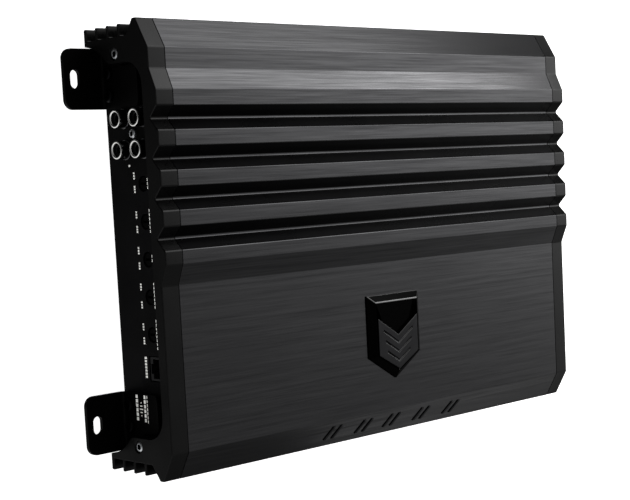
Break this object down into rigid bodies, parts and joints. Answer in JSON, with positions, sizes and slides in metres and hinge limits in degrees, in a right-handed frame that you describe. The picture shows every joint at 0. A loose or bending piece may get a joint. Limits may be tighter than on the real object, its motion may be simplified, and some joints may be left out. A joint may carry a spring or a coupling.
{
  "type": "car audio amplifier",
  "caption": "Mono car audio power amplifier in a black brushed finned casing with V grooves, end cap frames, slotted feet, a shield badge, RCA inputs, screwdriver controls, terminals and fuses.",
  "frame": {"origin": "centre of the footprint on the mounting plane", "axes": "+X along the extrusion from the input end to the output end, +Y from the badge side to the ribbed side, +Z out of the face"},
  "size_m": [0.313, 0.205, 0.0505],
  "materials": {
    "anodised_extrusion": "brushed lengthwise, black anodised",
    "cap_enamel": "satin black enamel on cast aluminium",
    "zinc_screws": "bright zinc",
    "panel_enamel": "matte black powder coat",
    "black_screws": "black oxide",
    "foot_enamel": "semi-gloss black enamel",
    "badge_gloss": "polished black",
    "badge_satin": "satin dark grey",
    "connector_plastic": "moulded black nylon",
    "nickel_plate": "bright nickel",
    "insert_plastic": "moulded",
    "gold_plate": "gold flash",
    "control_plastic": "moulded",
    "shaft_plastic": "moulded",
    "board_laminate": "solder mask",
    "post_brass": "turned",
    "steel_screws": "plain steel",
    "support_nylon": "natural nylon",
    "epoxy_package": "moulded epoxy",
    "silicone_pad": "grey silicone",
    "clamp_aluminium": "mill finish",
    "core_ferrite": "coated ferrite",
    "core_powder": "coated iron powder",
    "enamelled_copper": "enamelled wire",
    "capacitor_sleeve": "printed sleeve",
    "terminal_brass": "machined",
    "fuse_plastic": "tinted moulding",
    "fuse_blade": "tin plated"
  },
  "bodies": {
    "amplifier": {"heatsink_extrusion": "anodised_extrusion", "end_cap_input": "cap_enamel", "end_cap_output": "cap_enamel", "end_cap_screws": "zinc_screws", "input_panel": "panel_enamel", "output_panel": "panel_enamel", "bottom_cover": "panel_enamel", "cover_screws": "black_screws", "foot_input_rib_side": "foot_enamel", "foot_input_badge_side": "foot_enamel", "foot_output_rib_side": "foot_enamel", "foot_output_badge_side": "foot_enamel", "foot_screws": "black_screws", "badge_plate": "badge_gloss", "badge_inlay": "badge_satin", "rca_housing": "connector_plastic", "rca_shells": "nickel_plate", "rca_insulators": "insert_plastic", "rca_contacts": "gold_plate", "rca_screw": "zinc_screws", "control_bodies": "control_plastic", "remote_jack": "connector_plastic", "jack_contacts": "gold_plate", "control_board": "board_laminate", "control_board_posts": "post_brass", "control_board_screws": "steel_screws", "main_board": "board_laminate", "board_supports": "support_nylon", "board_screws": "steel_screws", "power_transistors": "epoxy_package", "transistor_pads": "silicone_pad", "clamp_bars": "clamp_aluminium", "clamp_screws": "black_screws", "transformer_core": "core_ferrite", "transformer_windings": "enamelled_copper", "inductor_core": "core_powder", "inductor_winding": "enamelled_copper", "bulk_capacitors": "capacitor_sleeve", "power_terminal_housing": "connector_plastic", "power_terminal_inserts": "terminal_brass", "speaker_terminal_housing": "connector_plastic", "speaker_terminal_inserts": "terminal_brass", "fuse_holder": "connector_plastic"},
    "level_control": {"level_shaft": "shaft_plastic"},
    "subsonic_control": {"subsonic_shaft": "shaft_plastic"},
    "lowpass_control": {"lowpass_shaft": "shaft_plastic"},
    "bass_control": {"bass_shaft": "shaft_plastic"},
    "phase_control": {"phase_shaft": "shaft_plastic"},
    "power_screw_negative": {"power_screw_negative": "steel_screws"},
    "power_screw_positive": {"power_screw_positive": "steel_screws"},
    "speaker_screw_1": {"speaker_screw_1": "steel_screws"},
    "speaker_screw_2": {"speaker_screw_2": "steel_screws"},
    "speaker_screw_3": {"speaker_screw_3": "steel_screws"},
    "speaker_screw_4": {"speaker_screw_4": "steel_screws"},
    "fuse_1": {"fuse_1": "fuse_plastic", "fuse_1_blades": "fuse_blade"},
    "fuse_2": {"fuse_2": "fuse_plastic", "fuse_2_blades": "fuse_blade"},
    "fuse_3": {"fuse_3": "fuse_plastic", "fuse_3_blades": "fuse_blade"}
  },
  "joints": [
    {"name": "level_turn", "type": "hinge", "parent": "amplifier", "child": "level_control", "pos_m": [-0.126, 0.0306, 0.0249], "axis": [-1, 0, 0], "range_deg": [-150, 150]},
    {"name": "subsonic_turn", "type": "hinge", "parent": "amplifier", "child": "subsonic_control", "pos_m": [-0.126, 0.0135, 0.0249], "axis": [-1, 0, 0], "range_deg": [-150, 150]},
    {"name": "lowpass_turn", "type": "hinge", "parent": "amplifier", "child": "lowpass_control", "pos_m": [-0.126, -0.0036, 0.0249], "axis": [-1, 0, 0], "range_deg": [-150, 150]},
    {"name": "bass_turn", "type": "hinge", "parent": "amplifier", "child": "bass_control", "pos_m": [-0.126, -0.0207, 0.0249], "axis": [-1, 0, 0], "range_deg": [-150, 150]},
    {"name": "phase_turn", "type": "hinge", "parent": "amplifier", "child": "phase_control", "pos_m": [-0.126, -0.0378, 0.0249], "axis": [-1, 0, 0], "range_deg": [-150, 150]},
    {"name": "power_screw_negative_turn", "type": "hinge", "parent": "amplifier", "child": "power_screw_negative", "pos_m": [0.1365, 0.033, 0.022], "axis": [0.7071, 0, 0.7071], "range_deg": [0, 360]},
    {"name": "power_screw_positive_turn", "type": "hinge", "parent": "amplifier", "child": "power_screw_positive", "pos_m": [0.1365, 0.051, 0.022], "axis": [0.7071, 0, 0.7071], "range_deg": [0, 360]},
    {"name": "speaker_screw_1_turn", "type": "hinge", "parent": "amplifier", "child": "speaker_screw_1", "pos_m": [0.1365, -0.056, 0.022], "axis": [0.7071, 0, 0.7071], "range_deg": [0, 360]},
    {"name": "speaker_screw_2_turn", "type": "hinge", "parent": "amplifier", "child": "speaker_screw_2", "pos_m": [0.1365, -0.045, 0.022], "axis": [0.7071, 0, 0.7071], "range_deg": [0, 360]},
    {"name": "speaker_screw_3_turn", "type": "hinge", "parent": "amplifier", "child": "speaker_screw_3", "pos_m": [0.1365, -0.034, 0.022], "axis": [0.7071, 0, 0.7071], "range_deg": [0, 360]},
    {"name": "speaker_screw_4_turn", "type": "hinge", "parent": "amplifier", "child": "speaker_screw_4", "pos_m": [0.1365, -0.023, 0.022], "axis": [0.7071, 0, 0.7071], "range_deg": [0, 360]},
    {"name": "fuse_1_pull", "type": "slide", "parent": "amplifier", "child": "fuse_1", "axis": [1, 0, 0], "range_m": [0, 0.014]},
    {"name": "fuse_2_pull", "type": "slide", "parent": "amplifier", "child": "fuse_2", "axis": [1, 0, 0], "range_m": [0, 0.014]},
    {"name": "fuse_3_pull", "type": "slide", "parent": "amplifier", "child": "fuse_3", "axis": [1, 0, 0], "range_m": [0, 0.014]}
  ]
}
